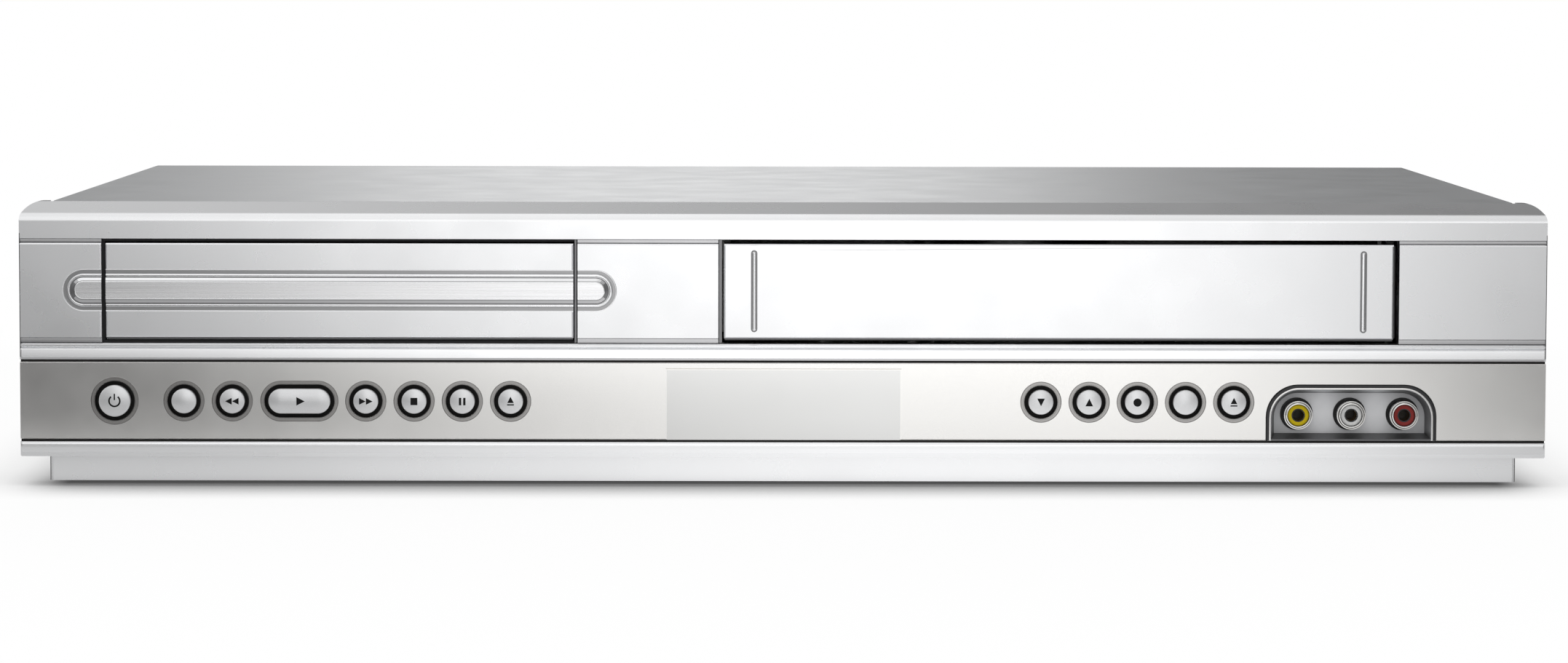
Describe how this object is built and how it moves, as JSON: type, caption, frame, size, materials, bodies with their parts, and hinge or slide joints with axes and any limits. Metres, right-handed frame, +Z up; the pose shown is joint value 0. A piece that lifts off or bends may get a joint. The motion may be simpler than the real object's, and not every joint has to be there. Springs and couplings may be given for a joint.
{
  "type": "dvd player",
  "caption": "Slim silver disc and tape player with a front tray, a cassette flap, push buttons and front sockets.",
  "frame": {"origin": "on the shelf, below the middle of the player's length and depth", "axes": "+X to the right seen from the front, +Y from the front to the back, +Z up"},
  "size_m": [0.43, 0.27, 0.08],
  "materials": {
    "silver_front": "fine metallic silver paint",
    "silver_band": "glossy silver paint",
    "window": "smoked silver",
    "display": "glass over a dark display",
    "buttons": "silver paint",
    "cover": "silver powder coat",
    "steel": "zinc-plated sheet",
    "motors": "plain steel can",
    "drum": "machined",
    "rubber": "black",
    "spring": "spring wire",
    "socket_plate": "nickel plate",
    "recess": "silver moulding",
    "yellow": "moulded yellow",
    "white": "moulded white",
    "red": "moulded red",
    "black_plastic": "black moulding",
    "white_plastic": "natural acetal",
    "board": "green solder mask",
    "power": "wound and moulded parts"
  },
  "bodies": {
    "case": {"top_cover": "cover", "bottom_pan": "steel", "pan_posts": "steel", "feet": "rubber", "rear_panel": "steel", "front_bezel": "silver_front", "control_band": "silver_band", "display_window": "window", "display_module": "display", "jack_recess": "recess", "jack_shells": "socket_plate", "video_jack_insulator": "yellow", "left_jack_insulator": "white", "right_jack_insulator": "red", "jack_block": "black_plastic", "key_board": "board", "flap_spring": "spring", "loader_frame": "black_plastic", "clamp_bridge": "steel", "traverse_frame": "black_plastic", "guide_rods": "steel", "spindle_motor": "motors", "loading_motor": "motors", "loading_belt": "rubber", "deck_chassis": "steel", "carriage_guides": "steel", "drum_base": "drum", "guide_posts": "white_plastic", "main_board": "board", "power_parts": "power", "rear_jacks": "black_plastic", "scart_sockets": "black_plastic", "tuner_module": "steel", "cord_gland": "black_plastic"},
    "tray": {"tray_door": "silver_front", "disc_tray": "black_plastic"},
    "tray_gear": {"tray_gear": "white_plastic"},
    "turntable": {"turntable": "black_plastic"},
    "clamper": {"disc_clamper": "black_plastic"},
    "pickup": {"pickup_sled": "black_plastic"},
    "flap": {"cassette_flap": "silver_front"},
    "carriage": {"cassette_carriage": "steel"},
    "drum": {"head_drum": "drum"},
    "supply_reel": {"supply_reel": "white_plastic"},
    "takeup_reel": {"takeup_reel": "white_plastic"},
    "capstan": {"capstan": "steel"},
    "pinch_arm": {"pinch_arm": "black_plastic"},
    "standby_button": {"standby_button": "buttons"},
    "dubbing_button": {"dubbing_button": "buttons"},
    "rewind_button": {"rewind_button": "buttons"},
    "play_button": {"play_button": "buttons"},
    "forward_button": {"forward_button": "buttons"},
    "stop_button": {"stop_button": "buttons"},
    "pause_button": {"pause_button": "buttons"},
    "open_close_button": {"open_close_button": "buttons"},
    "channel_down_button": {"channel_down_button": "buttons"},
    "channel_up_button": {"channel_up_button": "buttons"},
    "record_button": {"record_button": "buttons"},
    "source_button": {"source_button": "buttons"},
    "eject_button": {"eject_button": "buttons"}
  },
  "joints": [
    {"name": "tray_slide", "type": "slide", "parent": "case", "child": "tray", "axis": [0, -1, 0], "range_m": [0, 0.13]},
    {"name": "tray_gear_turn", "type": "hinge", "parent": "case", "child": "tray_gear", "pos_m": [-0.16995, -0.1004, 0.05], "axis": [0, 0, 1], "range_deg": [0, 840]},
    {"name": "turntable_spin", "type": "hinge", "parent": "case", "child": "turntable", "pos_m": [-0.12495, -0.0624, 0.056], "axis": [0, 0, 1], "continuous": true},
    {"name": "clamper_spin", "type": "hinge", "parent": "case", "child": "clamper", "pos_m": [-0.12495, -0.0624, 0.062], "axis": [0, 0, 1], "continuous": true},
    {"name": "pickup_slide", "type": "slide", "parent": "case", "child": "pickup", "axis": [0, 1, 0], "range_m": [0, 0.033]},
    {"name": "flap_hinge", "type": "hinge", "parent": "case", "child": "flap", "pos_m": [0.0775, -0.1302, 0.072], "axis": [1, 0, 0], "range_deg": [0, 88], "stiffness_Nm_per_rad": 0.012, "springref_deg": -22.92},
    {"name": "carriage_slide", "type": "slide", "parent": "case", "child": "carriage", "axis": [0, 1, 0], "range_m": [0, 0.058]},
    {"name": "drum_spin", "type": "hinge", "parent": "case", "child": "drum", "pos_m": [0.073, 0.0526, 0.033], "axis": [0, 0.1045, 0.9945], "continuous": true},
    {"name": "supply_reel_spin", "type": "hinge", "parent": "case", "child": "supply_reel", "pos_m": [0.0315, -0.0474, 0.03], "axis": [0, 0, 1], "continuous": true},
    {"name": "takeup_reel_spin", "type": "hinge", "parent": "case", "child": "takeup_reel", "pos_m": [0.1235, -0.0474, 0.03], "axis": [0, 0, 1], "continuous": true},
    {"name": "capstan_spin", "type": "hinge", "parent": "case", "child": "capstan", "pos_m": [0.116, 0.0036, 0.03], "axis": [0, 0, 1], "continuous": true},
    {"name": "pinch_arm_swing", "type": "hinge", "parent": "case", "child": "pinch_arm", "pos_m": [0.142, 0.0166, 0.027], "axis": [0, 0, 1], "range_deg": [0, 28]},
    {"name": "standby_press", "type": "slide", "parent": "case", "child": "standby_button", "axis": [0, 1, 0], "range_m": [0, 0.001], "stiffness_N_per_m": 600, "springref_m": -0.0005},
    {"name": "dubbing_press", "type": "slide", "parent": "case", "child": "dubbing_button", "axis": [0, 1, 0], "range_m": [0, 0.001], "stiffness_N_per_m": 600, "springref_m": -0.0005},
    {"name": "rewind_press", "type": "slide", "parent": "case", "child": "rewind_button", "axis": [0, 1, 0], "range_m": [0, 0.001], "stiffness_N_per_m": 600, "springref_m": -0.0005},
    {"name": "play_press", "type": "slide", "parent": "case", "child": "play_button", "axis": [0, 1, 0], "range_m": [0, 0.001], "stiffness_N_per_m": 600, "springref_m": -0.0005},
    {"name": "forward_press", "type": "slide", "parent": "case", "child": "forward_button", "axis": [0, 1, 0], "range_m": [0, 0.001], "stiffness_N_per_m": 600, "springref_m": -0.0005},
    {"name": "stop_press", "type": "slide", "parent": "case", "child": "stop_button", "axis": [0, 1, 0], "range_m": [0, 0.001], "stiffness_N_per_m": 600, "springref_m": -0.0005},
    {"name": "pause_press", "type": "slide", "parent": "case", "child": "pause_button", "axis": [0, 1, 0], "range_m": [0, 0.001], "stiffness_N_per_m": 600, "springref_m": -0.0005},
    {"name": "open_close_press", "type": "slide", "parent": "case", "child": "open_close_button", "axis": [0, 1, 0], "range_m": [0, 0.001], "stiffness_N_per_m": 600, "springref_m": -0.0005},
    {"name": "channel_down_press", "type": "slide", "parent": "case", "child": "channel_down_button", "axis": [0, 1, 0], "range_m": [0, 0.001], "stiffness_N_per_m": 600, "springref_m": -0.0005},
    {"name": "channel_up_press", "type": "slide", "parent": "case", "child": "channel_up_button", "axis": [0, 1, 0], "range_m": [0, 0.001], "stiffness_N_per_m": 600, "springref_m": -0.0005},
    {"name": "record_press", "type": "slide", "parent": "case", "child": "record_button", "axis": [0, 1, 0], "range_m": [0, 0.001], "stiffness_N_per_m": 600, "springref_m": -0.0005},
    {"name": "source_press", "type": "slide", "parent": "case", "child": "source_button", "axis": [0, 1, 0], "range_m": [0, 0.001], "stiffness_N_per_m": 600, "springref_m": -0.0005},
    {"name": "eject_press", "type": "slide", "parent": "case", "child": "eject_button", "axis": [0, 1, 0], "range_m": [0, 0.001], "stiffness_N_per_m": 600, "springref_m": -0.0005}
  ],
  "couplings": [
    {"joint": "tray_gear_turn", "follows": "tray_slide", "rad_per_m": 111.11},
    {"joint": "clamper_spin", "follows": "turntable_spin", "ratio": 1}
  ]
}
